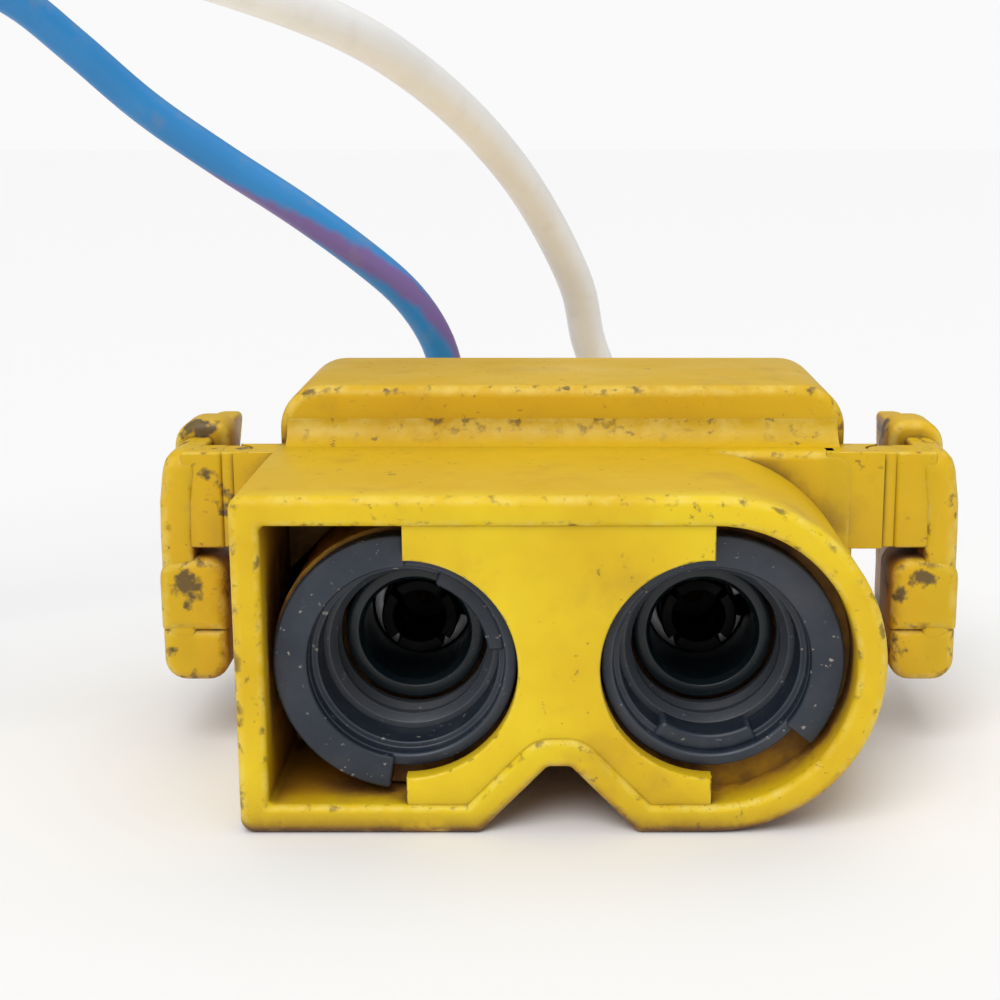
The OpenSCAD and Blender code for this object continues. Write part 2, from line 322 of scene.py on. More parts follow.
def spots(add, where, scale, low, high, detail=4.0, roughness=0.6):
    """A soft mask: noise of a given scale, nought below low and one above high."""
    noise = add(
        "ShaderNodeTexNoise",
        {"Vector": where, "Scale": scale, "Detail": detail, "Roughness": roughness},
    )
    ramp = add("ShaderNodeMapRange", {"Value": noise.outputs["Fac"], "From Min": low, "From Max": high})
    return ramp.outputs["Result"]


def times(add, a, b, operation="MULTIPLY"):
    """Two values joined by one sum."""
    return add("ShaderNodeMath", {0: a, 1: b}, operation=operation, use_clamp=True).outputs[0]


def over(add, mask, under, top):
    """Colour top laid over colour under where mask is one."""
    mix = add("ShaderNodeMix", {"Factor": mask, 6: under, 7: top}, data_type="RGBA")
    return mix.outputs[2]


def finish_surface(shader, add, links, colour, rough, bump, strength, distance):
    """Wires colour, roughness and a bump height into the shader."""
    links.new(colour, shader.inputs["Base Color"])
    links.new(rough, shader.inputs["Roughness"])
    height = add(
        "ShaderNodeBump", {"Height": bump, "Strength": strength, "Distance": distance}
    )
    links.new(height.outputs["Normal"], shader.inputs["Normal"])


# %% [markdown]
# ## Grimy yellow plastic
#
# The moulding is a warm yellow. Painted shade makes it deeper and redder in deep hollows
# and further back inside the shroud. Old grease sits in the corners and in specks on the
# edges, and the edges themselves are rubbed pale. The mask for dirt is how shut-in a point
# is, broken up by noise, so that no line is even.

# %% Yellow plastic
def yellow_plastic(name, hue, grime, patches=0.0):
    """Semi-gloss yellow: grime is how dirty the corners are, patches the dark rub marks."""
    material, shader, add, links = new_finish(name)
    where = add("ShaderNodeTexCoord").outputs["Object"]
    rub = add("ShaderNodeAttribute", attribute_name="rub").outputs["Fac"]
    shut = add("ShaderNodeAmbientOcclusion", {"Distance": 0.0022}, samples=8)
    corner = add(
        "ShaderNodeMapRange",
        {"Value": shut.outputs["AO"], "From Min": 0.85, "From Max": 0.35},
    ).outputs["Result"]
    # Painted shade: an 8 mm occlusion mask darkens the deep hollows and pockets to red-brown, where
    # shade falls.
    hollow = add("ShaderNodeAmbientOcclusion", {"Distance": 0.008}, samples=8)
    deep = add(
        "ShaderNodeMapRange",
        {"Value": hollow.outputs["AO"], "From Min": 0.72, "From Max": 0.2, "To Max": 0.85},
    ).outputs["Result"]
    cloud = spots(add, where, 90, 0.35, 0.7)
    # Painted shade: surfaces further back than the shroud's front are painted darker and browner, as the
    # shade inside its mouth.
    depth = add("ShaderNodeSeparateXYZ", {"Vector": where}).outputs["Y"]
    behind = add(
        "ShaderNodeMapRange", {"Value": depth, "From Min": -0.0151, "From Max": -0.0135}
    ).outputs["Result"]
    colour = over(add, behind, hue, (hue[0] * 0.86, hue[1] * 0.76, hue[2] * 0.6, 1))
    colour = over(add, times(add, cloud, 0.8), colour, (hue[0] * 0.76, hue[1] * 0.62, hue[2] * 0.5, 1))
    # Painted shade laid into the deep hollows.
    colour = over(add, deep, colour, (0.25, 0.085, 0.010, 1))
    edge = times(add, rub, spots(add, where, 900, 0.42, 0.66))
    colour = over(add, times(add, edge, 0.4), colour, (0.88, 0.72, 0.20, 1))
    dirty = times(add, corner, spots(add, where, 420, 0.36, 0.56))
    colour = over(add, times(add, dirty, grime), colour, (0.12, 0.050, 0.018, 1))
    fleck = times(add, rub, spots(add, where, 1100, 0.56, 0.66))
    colour = over(add, times(add, fleck, 0.8 * grime), colour, (0.085, 0.045, 0.024, 1))
    stray = times(add, spots(add, where, 1700, 0.64, 0.70), spots(add, where, 150, 0.44, 0.60))
    colour = over(add, times(add, stray, 0.8 * grime), colour, (0.12, 0.062, 0.03, 1))
    smear = times(add, spots(add, where, 240, 0.56, 0.72), 0.3 * grime)
    colour = over(add, smear, colour, (0.36, 0.19, 0.03, 1))
    if patches:
        mark = times(add, spots(add, where, 330, 0.58, 0.63), patches)
        colour = over(add, mark, colour, (0.055, 0.038, 0.032, 1))
    fine = add("ShaderNodeTexNoise", {"Vector": where, "Scale": 2600.0, "Detail": 3.0})
    rough = add(
        "ShaderNodeMapRange",
        {"Value": times(add, dirty, cloud, "ADD"), "To Min": 0.34, "To Max": 0.62},
    ).outputs["Result"]
    finish_surface(shader, add, links, colour, rough, fine.outputs["Fac"], 0.22, 0.00006)
    shader.inputs["Subsurface Weight"].default_value = 0.12
    shader.inputs["Subsurface Radius"].default_value = (0.0016, 0.0009, 0.0002)
    shader.inputs["Subsurface Scale"].default_value = 1.0
    shader.inputs["Specular IOR Level"].default_value = 0.32
    return material


HOUSING_YELLOW = yellow_plastic("housing_yellow", (0.84, 0.61, 0.010, 1), 0.9)
COVER_YELLOW = yellow_plastic("cover_yellow", (0.82, 0.585, 0.010, 1), 1.0)
LATCH_YELLOW = yellow_plastic("latch_yellow", (0.84, 0.60, 0.009, 1), 1.0, 0.85)
print("three yellow finishes")

# %% [markdown]
# ## The other finishes
#
# The sleeves are a blue-black satin plastic with dust on them, the seals are rubber,
# the contacts tin and the leads coloured insulation. The blue lead has a violet stripe
# that winds slowly round it, so its finish reads the map laid along the lead.

# %% Dark plastic, rubber, metal
def satin(name, hue, rough, dust=0.0, metallic=0.0, grain=1800.0, coat=0.0):
    """A plain hue broken by soft clouds, fine grain and, where asked, pale dust."""
    material, shader, add, links = new_finish(name)
    where = add("ShaderNodeTexCoord").outputs["Object"]
    rub = add("ShaderNodeAttribute", attribute_name="rub").outputs["Fac"]
    cloud = spots(add, where, 260, 0.35, 0.7)
    colour = over(add, cloud, hue, (hue[0] * 0.7, hue[1] * 0.72, hue[2] * 0.75, 1))
    pale = tuple(min(1.0, 0.05 + 2.0 * c) for c in hue[:3]) + (1,)
    colour = over(add, times(add, rub, 0.35), colour, pale)
    if dust:
        speck = times(add, spots(add, where, 2400, 0.66, 0.71), dust)
        colour = over(add, speck, colour, (0.42, 0.38, 0.34, 1))
        film = times(add, spots(add, where, 190, 0.45, 0.75), 0.25 * dust)
        colour = over(add, film, colour, (0.16, 0.15, 0.15, 1))
    fine = add("ShaderNodeTexNoise", {"Vector": where, "Scale": grain, "Detail": 3.0})
    varied = add(
        "ShaderNodeMapRange",
        {"Value": cloud, "To Min": rough - 0.06, "To Max": rough + 0.1},
    ).outputs["Result"]
    finish_surface(shader, add, links, colour, varied, fine.outputs["Fac"], 0.25, 0.00005)
    shader.inputs["Metallic"].default_value = metallic
    shader.inputs["Coat Weight"].default_value = coat
    return material


SLEEVE_DARK = satin("sleeve_dark", (0.016, 0.024, 0.040, 1), 0.44, dust=0.7)
SEAL_RUBBER = satin("seal_rubber", (0.060, 0.068, 0.082, 1), 0.38, dust=0.4)
# Partly the tube's own dark teal, partly painted shade: the hue is pushed near black as the shade deep
# in each socket.
TUBE_TEAL = satin("tube_teal", (0.003, 0.011, 0.015, 1), 0.34, dust=0.2)
# Painted shade: the tin is made almost black, standing in for the shade deep in each socket.
CONTACT_TIN = satin("contact_tin", (0.012, 0.012, 0.012, 1), 0.55, metallic=1.0)
CLIP_STEEL = satin("clip_steel", (0.28, 0.28, 0.29, 1), 0.35, metallic=1.0)
WIRE_RUBBER = satin("wire_seal_rubber", (0.045, 0.047, 0.052, 1), 0.6, dust=0.4)
COPPER = satin("copper_core", (0.74, 0.36, 0.18, 1), 0.34, metallic=1.0, grain=4000.0)


# %% Lead insulation
def insulation(name, hue, stripe=None, soil=0.3):
    """Satin insulation. The stripe is a band of the map's v that winds along its u."""
    material, shader, add, links = new_finish(name)
    where = add("ShaderNodeTexCoord").outputs["Object"]
    lead_map = add("ShaderNodeUVMap", uv_map="lead").outputs["UV"]
    soft = spots(add, where, 160, 0.35, 0.7)
    colour = over(add, soft, hue, (hue[0] * 0.92, hue[1] * 0.92, hue[2] * 0.92, 1))
    if stripe:
        along = add("ShaderNodeSeparateXYZ", {"Vector": lead_map})
        wave = add(
            "ShaderNodeTexNoise", {"Vector": where, "Scale": 700.0, "Detail": 2.0}
        ).outputs["Fac"]
        turn = add("ShaderNodeMath", {0: along.outputs["X"], 1: 0.022}, operation="MULTIPLY")
        place = add("ShaderNodeMath", {0: along.outputs["Y"], 1: turn.outputs[0]})
        phase = add("ShaderNodeMath", {0: place.outputs[0], 1: 0.14})
        wobble = add("ShaderNodeMath", {0: wave, 1: 0.10, 2: phase.outputs[0]}, operation="MULTIPLY_ADD")
        ring = add("ShaderNodeMath", {0: wobble.outputs[0]}, operation="FRACT")
        off = add("ShaderNodeMath", {0: ring.outputs[0], 1: 0.5}, operation="SUBTRACT")
        away = add("ShaderNodeMath", {0: off.outputs[0]}, operation="ABSOLUTE")
        band = add(
            "ShaderNodeMapRange",
            {"Value": away.outputs[0], "From Min": 0.14, "From Max": 0.07},
        ).outputs["Result"]
        colour = over(add, times(add, band, 0.85), colour, stripe)
    grime = times(add, spots(add, where, 520, 0.55, 0.72), soil)
    colour = over(add, grime, colour, (0.30, 0.24, 0.18, 1))
    fine = add("ShaderNodeTexNoise", {"Vector": where, "Scale": 1500.0, "Detail": 3.0})
    rough = add(
        "ShaderNodeMapRange", {"Value": soft, "To Min": 0.36, "To Max": 0.5}
    ).outputs["Result"]
    finish_surface(shader, add, links, colour, rough, fine.outputs["Fac"], 0.2, 0.00005)
    return material


BLUE_LEAD = insulation("blue_insulation", (0.022, 0.245, 0.60, 1), (0.22, 0.10, 0.30, 1), 0.2)
WHITE_LEAD = insulation("white_insulation", (0.96, 0.95, 0.93, 1), None, 0.08)
print("finishes:", len(bpy.data.materials))

# %% [markdown]
# ## The leads
#
# Each lead leaves its seal at the back, arches over the plug and comes down beside it,
# where it lies flat and ends in bare strands. A lead is stiff enough at this length to
# hold its arch. The route is the engineering model's own list of points. A smooth curve
# through them, in close steps, carries the tube; the frame that turns the section is
# passed on from step to step without twist, so the stripe winds only as it is told to.

# %% Routes
BLUE_ROUTE = [
    (-8.1, 6, 9), (-8.1, 11, 9), (-8.1, 16, 9), (-8.1, 19, 9.3), (-8.1, 21.8, 10.5),
    (-8.1, 24, 12.7), (-8.1, 25.3, 15.6), (-8.3, 25.6, 18.6), (-9.2, 25.2, 21.7),
    (-11.2, 24.9, 24.7), (-14.3, 24.5, 27.5), (-18.7, 24, 30.8), (-24.1, 23.5, 34.4),
    (-29, 22.5, 38), (-33.2, 20.8, 42), (-36.5, 19, 45), (-40.5, 17, 47),
    (-45, 15, 46.6), (-49, 13.5, 43.8), (-52, 12.6, 39.4), (-54, 12, 34),
    (-55.4, 11.6, 28), (-56.6, 11.4, 22), (-58, 11.4, 16), (-60.2, 11.6, 10.2),
    (-63.8, 12.2, 5.4), (-68.6, 13.8, 2.4), (-73.2, 17, 1.4), (-76, 21.6, 1.25),
    (-76.6, 25.4, 1.25), (-76.6, 28.5, 1.25),
]
WHITE_ROUTE = [
    (8.1, 6, 9), (8.1, 11, 9), (8.1, 16, 9), (8, 19, 9.3), (7.6, 21.6, 10.5),
    (6.6, 23.6, 12.7), (5, 24.9, 15.4), (3.3, 25.2, 18.3), (2.1, 24.7, 21.4),
    (1.3, 23.4, 25.3), (-0.7, 20.5, 29.8), (-3, 16.5, 33.7), (-5.8, 11.5, 37.2),
    (-8.8, 6.2, 40), (-12, 1, 42.1), (-16.5, -4, 43.9), (-21.7, -7.6, 45.3),
    (-27.5, -9.6, 45.8), (-33.3, -10.6, 44.8), (-38.4, -11, 41.8), (-42.3, -11, 37.3),
    (-45, -10.6, 31.9), (-47, -10, 26.1), (-48.8, -9.4, 20.3), (-51, -8.6, 14.7),
    (-54, -8.4, 9.3), (-58, -9.4, 4.9), (-62, -11.6, 2.3), (-64.6, -15.2, 1.4),
    (-65.4, -18.4, 1.25), (-65.4, -21, 1.25),
]


def smooth_line(route, step):
    """A curve through a route's points, in even steps of about the given length.

    Between two points it is the Catmull-Rom cubic, whose slope at a point is half the
    way from the point before to the point after.
    """
    p = np.array(route, float)
    p = np.concatenate([[2 * p[0] - p[1]], p, [2 * p[-1] - p[-2]]])
    t = np.linspace(0, 1, 20, endpoint=False)[:, None, None]
    a, b, c, d = p[:-3], p[1:-2], p[2:-1], p[3:]
    cubic = 0.5 * (
        2 * b + (c - a) * t + (2 * a - 5 * b + 4 * c - d) * t**2 + (3 * b - a - 3 * c + d) * t**3
    )
    line = np.concatenate([cubic.transpose(1, 0, 2).reshape(-1, 3), [route[-1]]])
    far = np.concatenate([[0], np.cumsum(np.linalg.norm(np.diff(line, axis=0), axis=1))])
    even = np.linspace(0, far[-1], int(round(far[-1] / step)) + 1)
    return np.stack([np.interp(even, far, line[:, k]) for k in range(3)], 1), far[-1]


def carried_frames(line):
    """Two directions across a line at each point, passed along it without twist."""
    ahead = np.gradient(line, axis=0)
    ahead /= np.linalg.norm(ahead, axis=1)[:, None]
    across = np.empty_like(line)
    now = np.cross(ahead[0], [1.0, 0, 0])
    for i, way in enumerate(ahead):
        now = now - way * (now @ way)
        now /= np.linalg.norm(now)
        across[i] = now
    return across, np.cross(ahead, across)


def tube(line, radius, sides, turn=0.0):
    """Rings about a line: point plus radius (cos(angle) across + sin(angle) over)."""
    across, over_it = carried_frames(line)
    angle = np.linspace(0, 2 * math.pi, sides, endpoint=False) + turn
    c, s = np.cos(angle)[None, :, None], np.sin(angle)[None, :, None]
    r = np.broadcast_to(radius, (len(line),))[:, None, None]
    return line[:, None, :] + r * (c * across[:, None, :] + s * over_it[:, None, :])


# %% Lead pieces
def lead(name, route, material, cad_tube, cad_end, way):
    """Insulation round one lead, and seven twisted strands at its bare end."""
    line, length = smooth_line(route, 0.8)
    sides = 28
    radius = np.full(len(line), WIRE_D / 2)
    radius[-1] *= 0.96
    rings = tube(line, radius, sides)
    points, faces, rub = skin(rings, 0.0)
    obj = piece(name, [(points, faces, rub)], "housing", (cad_tube,))
    obj.data.materials.append(material)
    uv = obj.data.uv_layers.new(name="lead")
    index = np.empty(len(obj.data.loops), np.int64)
    obj.data.loops.foreach_get("vertex_index", index)
    along = index // sides * length / (len(line) - 1)
    round_it = index % sides / sides
    starts = np.empty(len(obj.data.polygons), np.int64)
    totals = np.empty(len(obj.data.polygons), np.int64)
    obj.data.polygons.foreach_get("loop_start", starts)
    obj.data.polygons.foreach_get("loop_total", totals)
    face = np.repeat(np.arange(len(starts)), totals)
    lowest = np.minimum.reduceat(round_it, starts)
    seam = (np.maximum.reduceat(round_it, starts) - lowest > 0.5)[face] & (round_it < 0.5)
    uv.data.foreach_set("uv", np.stack([along, round_it + seam], 1).reshape(-1).astype(np.float32))

    tip = line[-1]
    end_low, end_high = span(cad_end)
    bare = end_high[1] - end_low[1]
    core_r = (end_high[0] - end_low[0]) / 2
    strand_r = core_r / 3
    s = np.linspace(-0.8, bare - 0.02, 34)
    strands = []
    for k in range(7):
        out = 0.0 if k == 0 else 2 * strand_r * 0.98
        a = math.tau * k / 6 + s * 0.55
        strand = np.stack([out * np.cos(a), way * s, out * np.sin(a)], 1) + tip
        part = skin(tube(strand, strand_r, 10), 0.3)
        strands.append(part)
    end = piece(name + "_strands", strands, "housing", (cad_end,))
    end.data.materials.append(COPPER)
    print(f"{name}: {length:.1f} mm of lead, {bare:.1f} mm bare")
    return obj, end, line


blue, blue_strands, blue_line = lead(
    "blue_lead", BLUE_ROUTE, BLUE_LEAD, "blue_wire", "blue_bare_end", 1
)
white, white_strands, white_line = lead(
    "white_lead", WHITE_ROUTE, WHITE_LEAD, "white_wire", "white_bare_end", -1
)

# %% [markdown]
# ## The shroud
#
# The shroud is a deep wall round the sockets: square on the left, round on the right,
# with a V key pushed up into its floor. Its section is a thin oblong with a soft lip at
# the front. That section is carried round the D outline: each point of the section says
# how far in from the outline it lies and how far back.

# %% Shroud wall
KEY = [(-4.2, 0.0), (-0.6, 3.7), (0.6, 3.7), (4.2, 0.0)]
D_CORNERS = [(LEFT_X, 0), *KEY, (RIGHT_X, 0), (RIGHT_X, SHROUD_TOP), (LEFT_X, SHROUD_TOP)]
D_RADII = [0.8, 0.5, 0.5, 0.5, 0.5, SHROUD_R - 0.05, SHROUD_R - 0.05, 0.8]
CURVE_STEPS = 20


def shroud_wall():
    """The section's (y, inset) points, each one a ring on the D outline."""
    arc_steps = 5
    corners = [(FRONT, 0), (SHROUD_BACK, 0), (SHROUD_BACK, RIM_WALL), (FRONT, RIM_WALL)]
    section = outline(corners, [0.55, 0.05, 0.05, 0.4], 0.0, arc_steps, least=0.02)
    bend = np.sin(np.linspace(0, math.pi, arc_steps + 1))
    rub = np.concatenate([bend, 0 * bend, 0 * bend, bend])
    rings = [
        np.insert(outline(D_CORNERS, D_RADII, inset, CURVE_STEPS, least=0.3), 1, y, axis=1)
        for y, inset in section
    ]
    return skin(np.stack(rings), rub[:, None], closed_rings=True)


# %% [markdown]
# The middle web is a flat plate with a bite out of each side where a socket is. Its
# foot follows the key. The plate behind it has larger bites, so that a sleeve's flange
# can turn in behind the web.

# %% Web and the block behind it
WEB_FRONT = FRONT + 0.3
WEB_BACK = WEB_FRONT + 1.1
SEAT = WEB_BACK + 1.6
POCKET_FLOOR = FRONT + 10
SLEEVE_BACK = FRONT + 9.5


def waist(bite):
    """Outline between the sockets: straight ends, a bite of that radius at each side.

    The key's two outer corners keep one point each, since points that lie close
    together would cross when the outline is moved in.
    """
    buried = 0.9
    foot = outline(D_CORNERS, D_RADII, buried, 6)
    foot = foot[(np.abs(foot[:, 0]) < 5.6) & (foot[:, 1] < SOCKET_Z / 1.5)]
    foot = foot[3:-3][np.r_[0, 4:len(foot) - 10, -1]]
    head = SHROUD_TOP - buried
    right = arc((SOCKET_X, SOCKET_Z), bite, -90, -270, 40)
    left = arc((-SOCKET_X, SOCKET_Z), bite, 90, -90, 40)
    return np.concatenate([
        [(-SOCKET_X, buried)], foot, [(SOCKET_X, buried)], right,
        [(SOCKET_X, head), (-SOCKET_X, head)], left,
    ])


def web():
    """The front web, its edges rounded by a fifth of a millimetre."""
    shape = waist(5.95)
    return block(lambda inset: moved_in(shape, inset), WEB_FRONT, WEB_BACK, 0.16, 0.04)


def waist_block():
    """The solid between the sockets, behind the web."""
    shape = waist(7.2)
    return block(lambda inset: moved_in(shape, inset), WEB_BACK - 0.05, POCKET_FLOOR, 0.04, 0.04)


def corner_floor(z_wall, z_open):
    """Floor of one deep pocket in a square corner of the shroud."""
    wall = LEFT_X + 0.8
    leg = 6.2
    corners = [(wall, z_wall), (wall + leg, z_wall), (wall, z_open)]
    if z_open < z_wall:
        corners = corners[::-1]
    return block(lambda inset: outline(corners, [0.1] * 3, inset, 2), POCKET_FLOOR, -4.5, 0.05, 0.05)


def barrel(side, outer):
    """One socket's barrel, from the flange's seat back to the wire seal."""
    tube_r = (tube_high[0] - tube_low[0]) / 2 + 0.02
    corners = [
        (SEAT, 5.95), (SLEEVE_BACK + 0.1, 5.95), (SLEEVE_BACK + 0.1, tube_r),
        (tube_high[1], tube_r), (tube_high[1], 1.6), (6.2, 1.6), (6.2, 3.9),
        (housing_high[1], 3.9), (housing_high[1], 6.4), (SHROUD_BACK - 0.1, 6.4),
        (SHROUD_BACK - 0.1, outer), (SEAT, outer),
    ]
    return turned(corners, [0.12] + [0.05] * 10 + [0.1], side)


# %% [markdown]
# Behind the round end the body turns into a plain rectangle, the shoulder, and an arm
# reaches out of it on each side to carry a latch. The end of each arm is hollowed to
# hug the latch's round pivot.

# %% Shoulder, arms and spigot
SHOULDER_FRONT = SHROUD_BACK - 2.8
ARM_LOW = 12.6
PIVOT = (19.2, -1.9)
PIVOT_R = 1.15


def shoulder():
    """A frame: a rounded rectangle outside, and inside it the D of the shroud."""
    x0, z0, z1 = LEFT_X + 0.03, 0.03, SHROUD_TOP - 0.03
    corners = [(x0, z0), (RIGHT_X, z0), (RIGHT_X, z1), (x0, z1)]
    steps = 12
    at, inset, worn = stations(SHOULDER_FRONT, SHROUD_BACK, 0.5, 0.05)
    rings = [
        np.insert(outline(corners, [0.8, 1.6, 1.2, 0.8], d, steps), 1, y, axis=1)
        for y, d in zip(at, inset)
    ]
    for y in (SHROUD_BACK, SHOULDER_FRONT):
        inner = outline(corners, [0.8, SHROUD_R - 0.05, SHROUD_R - 0.05, 0.8], 0.8, steps, least=0.3)
        rings.append(np.insert(inner, 1, y, axis=1))
    rub = np.concatenate([worn, [0, 0]])
    return skin(np.stack(rings), rub[:, None], closed_rings=True)


def key_stop():
    """The end of the key's slot, where the shroud becomes solid."""
    corners = [(-5, 0.02), (5, 0.02), (1.1, 4.3), (-1.1, 4.3)]
    return block(
        lambda inset: outline(corners, [0.1] * 4, inset, 2), SHOULDER_FRONT, SHROUD_BACK, 0.05, 0.05
    )


def upright(a, b, c):
    """Places a block that is carried upwards: a is Y, b is X and c is Z."""
    return np.stack([b, a, c], -1)


def arm(side):
    """An arm along X, with a hollow round the pivot at its end."""
    root = 15.5
    y0, y1 = SHOULDER_FRONT + 0.05, SHROUD_BACK - 0.05
    hug = PIVOT_R + 0.08
    hollow = arc((PIVOT[1], PIVOT[0]), hug, -22, -158, 16)
    horn = PIVOT[0] - 0.32
    shape = np.concatenate([[(y0, root), (y1, root), (y1, horn)], hollow, [(y0, horn)]])
    beam = block(
        lambda inset: moved_in(shape, inset), ARM_LOW, SHROUD_TOP - 0.03, 0.06, 0.06, place=upright
    )
    return mirrored(beam) if side < 0 else beam


def mirrored(part):
    """The same part on the other side: X changes sign and each face is turned round."""
    points, faces, rub = part
    return points * np.array([-1, 1, 1]), [face[::-1] for face in faces], rub


def rib(x, width):
    """A stiffening rib between the two barrels' tails, inside the rear cover."""
    corners = [(x, 3), (x + width, 3), (x + width, 15.4), (x, 15.4)]
    return block(lambda inset: outline(corners, [0.3] * 4, inset, 3), SHROUD_BACK - 0.1, 8.8)


housing = piece(
    "housing_moulding",
    [
        shroud_wall(), web(), waist_block(), shoulder(), key_stop(), arm(1), arm(-1),
        corner_floor(1.0, 7.2), corner_floor(SHROUD_TOP - 1.0, SHROUD_TOP - 7.2),
        barrel(-1, 7.25), barrel(1, 7.75), rib(-1.6, 1.2), rib(0.4, 1.2),
    ],
    "housing",
    ("plug_housing",),
)
housing.data.materials.append(HOUSING_YELLOW)

# %% [markdown]
# ## The rear cover
#
# The cover is a deep cup with its mouth against the shoulder. It is one skin: from the
# middle of the inner floor out to the lip, over the lip, and back along the outside to
# the rear face. Two low collars stand round the holes where the leads come out, and a
# hollow fillet runs along the foot of the cover, on top of the shroud.

# %% Rear cover
def cover_shell():
    """Rings of a rounded rectangle, from the inner floor round the lip to the back."""
    (x0, _, z0), (x1, _, z1) = cover_low, cover_high
    outer = [(x0, z0), (x1, z0), (x1, z1), (x0, z1)]
    inner = [(-14.8, 1.5), (14.8, 1.5), (14.8, 16.7), (-14.8, 16.7)]
    front, back = cover_low[1], cover_high[1]
    floor = housing_high[1] + 0.2
    steps = 10

    def inside(inset, y):
        return np.insert(outline(inner, [0.8] * 4, inset, steps), 1, y, axis=1)

    def outside(inset, y):
        return np.insert(outline(outer, [2.6] * 4, inset, steps, least=0.8), 1, y, axis=1)

    turn = np.linspace(0, math.pi / 2, 7)
    lip, heel = 0.7, 2.2
    rings = [inside(0.3, floor), inside(0, floor - 0.3), inside(0, front)]
    rub = [0, 0, 0]
    rings += [outside(lip * (1 - math.sin(a)), front + lip * (1 - math.cos(a))) for a in turn]
    rub += np.sin(2 * turn).tolist()
    rings += [outside(heel * (1 - math.cos(a)), back - heel * (1 - math.sin(a))) for a in turn]
    rub += (0.6 * np.sin(2 * turn)).tolist()
    return skin(np.stack(rings), np.array(rub)[:, None])


def fillet():
    """A hollow curve along the foot of the cover, where the dirt collects."""
    radius, top, face = 1.5, SHROUD_TOP - 0.02, -cover_low[1]
    hollow = arc((face + radius, top + radius), radius, 270, 180, 10)
    shape = np.concatenate([
        [(face - 0.3, top - 0.4), (face + radius, top - 0.4)], hollow, [(face - 0.3, top + radius)]
    ])

    def along(a, b, c):
        return np.stack([c, -a, b], -1)

    points, faces, _ = block(
        lambda inset: shape, cover_low[0] + 0.5, cover_high[0] - 0.5, 0.02, 0.02, place=along
    )
    return points, faces, np.clip((points[:, 2] - top) / radius, 0, 1)


def collar(side):
    """A low ring round the hole for one lead."""
    back = cover_high[1]
    corners = [(back - 0.4, 2.68), (back + 0.7, 2.68), (back + 0.7, 3.9), (back - 0.4, 4.3)]
    return turned(corners, [0.05, 0.2, 0.5, 0.05], side)


rear_cover = piece(
    "rear_cover_moulding", [cover_shell(), fillet(), collar(-1), collar(1)],
    "housing", ("rear_cover",),
)
rear_cover.data.materials.append(COVER_YELLOW)

# %% [markdown]
# ## The side latches
#
# A latch is a plate that stands beside the body. A hook block fills its lower front, a
# thumb stop rises from its top, and grip ribs cross its back. Pressing the back of the
# plate towards the body swings the hook out. The left latch is the mirror image.

# %% Latches
def sideways(a, b, c):
    """Places a block that is carried along X: a is Z, b is Y and c is X."""
    return np.stack([c, b, a], -1)


def latch_parts():
    """The right latch: plate, hook in two steps, thumb stop, grip ribs, arm and pivot."""
    y0, y1 = latch_low[1], latch_high[1]
    z0, z1 = latch_low[2], SHROUD_TOP
    outer = latch_high[0]
    inner = outer - 2.2
    plate_corners = [(z0, y0), (z1, y0), (z1, y1), (z0, y1)]
    plate = block(
        lambda inset: outline(plate_corners, [1.5, 1.3, 1.6, 1.6], inset, 8, 6),
        inner, outer - 0.15, 0.35, 0.9, between=3, place=sideways,
    )
    hook_left, hook_top, step_z = PIVOT[0] + 0.4, 12.0, 7.7

    def front_block(x0, x1, low, high, y_front, y_back, radii, edge):
        corners = [(x0, low), (x1, low), (x1, high), (x0, high)]
        return block(
            lambda inset: outline(corners, radii, inset, 6), y_front, y_back, edge, 0.2, between=2
        )

    upper = front_block(hook_left, outer - 0.06, step_z - 0.2, hook_top, y0 - 0.15, 0.7,
                        [0.3, 0.3, 1.3, 1.1], 0.7)
    lower = front_block(hook_left + 0.1, outer - 0.12, z0 - 0.05, step_z, y0 - 0.02, 0.65,
                        [1.2, 1.3, 0.3, 0.3], 0.6)
    stop_corners = [(19.75, 16.4), (23.5, 16.4), (23.2, 19.38), (20.1, 19.38)]
    stop = block(
        lambda inset: outline(stop_corners, [0.3, 0.3, 1.6, 1.1], inset, 8), 1.4, 5.0, 0.6, 0.8
    )
    near, far = PIVOT[0] + 0.35, inner + 0.5
    arm_corners = [(PIVOT[1] - 1.2, near), (PIVOT[1] + 1.2, near),
                   (PIVOT[1] + 1.2, far), (PIVOT[1] - 1.2, far)]
    reach = block(
        lambda inset: outline(arm_corners, [0.3, 0.3, 0.05, 0.05], inset, 4),
        ARM_LOW, SHROUD_TOP - 0.06, 0.2, 0.2, place=upright,
    )
    knuckle_shape = arc((PIVOT[1], PIVOT[0]), PIVOT_R, 0, 352.5, 47)
    knuckle = block(
        lambda inset: moved_in(knuckle_shape, inset),
        ARM_LOW + 0.05, SHROUD_TOP - 0.1, 0.1, 0.1, place=upright,
    )
    grips = []
    for y in (7.5, 9.0, 10.5):
        corners = [(z0 + 2, y), (z1 - 2, y), (z1 - 2, y + 0.8), (z0 + 2, y + 0.8)]
        grips.append(block(
            lambda inset, c=corners: outline(c, [0.35] * 4, inset, 5),
            outer - 1, outer, 0.1, 0.25, place=sideways,
        ))
    return [lean(part) for part in [plate, upper, lower, *grips]] + [stop, reach, knuckle]


def lean(part):
    """Leans the top of a latch towards the body: x loses 0.03 times (z - 14) squared."""
    points, faces, rub = part
    points = points.copy()
    points[:, 0] -= 0.03 * np.clip(points[:, 2] - 14, 0, None) ** 2
    return points, faces, rub


right_latch_parts = latch_parts()
right_latch = piece(
    "right_latch_moulding", right_latch_parts, "right_latch", ("right_latch",)
)
left_latch = piece(
    "left_latch_moulding", [mirrored(part) for part in right_latch_parts],
    "left_latch", ("left_latch",),
)
for obj in (right_latch, left_latch):
    obj.data.materials.append(LATCH_YELLOW)

